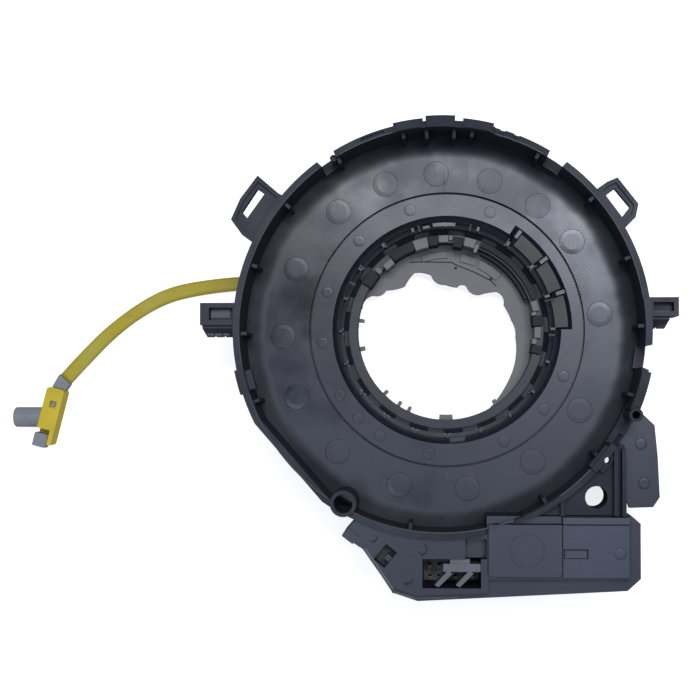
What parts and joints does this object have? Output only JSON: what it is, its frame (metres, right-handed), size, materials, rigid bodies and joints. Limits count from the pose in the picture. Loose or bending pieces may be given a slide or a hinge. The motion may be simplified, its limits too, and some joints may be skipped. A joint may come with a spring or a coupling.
{
  "type": "steering clock spring",
  "caption": "Steering column clock spring: black round housing with an open skirt, turning centre sleeve, terminal box, mounting ears, and a flat yellow airbag lead with its squib plug",
  "frame": {"origin": "on the rotor's turning axis, in the wheel-side face of the rotor disc, at the wheel-side mouth of the bore", "axes": "+Z along the turning axis towards the steering column, +X to the right and +Y up as seen from the column side with the terminal box at the bottom"},
  "size_m": [0.1867, 0.1287, 0.0482],
  "materials": {
    "case_black": "moulded black plastic with a soft gloss",
    "drum_black": "moulded black plastic",
    "glide_film": "translucent film",
    "flat_cable_film": "amber flat cable film",
    "box_black": "moulded black plastic with a soft gloss",
    "cover_black": "moulded black plastic",
    "carrier_black": "moulded plastic with contact blades",
    "pin_metal": "plated contact pins on their strip",
    "claw_grey": "moulded grey-black plastic",
    "rotor_black": "moulded black plastic",
    "sleeve_black": "moulded black plastic with a soft gloss",
    "hub_grey": "moulded grey plastic",
    "socket_black": "moulded black plastic",
    "lead_yellow": "olive-yellow flat sleeve",
    "plug_grey": "moulded grey plastic",
    "plug_yellow": "moulded yellow plastic",
    "lock_grey": "moulded grey plastic"
  },
  "bodies": {
    "stator": {"stator_case": "case_black", "cable_drum": "drum_black", "glide_sheet": "glide_film", "cable_tail": "flat_cable_film", "terminal_box": "box_black", "terminal_cover": "cover_black", "end_cover": "cover_black", "terminal_carrier": "carrier_black", "column_pins": "pin_metal", "connector_claw": "claw_grey"},
    "rotor": {"rotor": "rotor_black", "rotor_sleeve": "sleeve_black", "flat_cable": "flat_cable_film", "rotor_carrier": "carrier_black", "hub_plate": "hub_grey", "wheel_connector": "socket_black", "wheel_pins": "pin_metal", "horn_connector": "socket_black", "horn_pins": "pin_metal", "lead_outlet": "socket_black", "airbag_lead": "lead_yellow", "lead_boot": "plug_grey", "plug_body": "plug_yellow", "squib_plug": "plug_grey", "squib_contacts": "pin_metal"},
    "squib_lock": {"squib_lock": "lock_grey"}
  },
  "joints": [
    {"name": "rotor_turn", "type": "hinge", "parent": "stator", "child": "rotor", "pos_m": [0, 0, 0], "axis": [0, 0, 1], "range_deg": [-900, 900]},
    {"name": "squib_lock_slide", "type": "slide", "parent": "rotor", "child": "squib_lock", "axis": [0.247, 0.969, 0], "range_m": [0, 0.0011]}
  ]
}
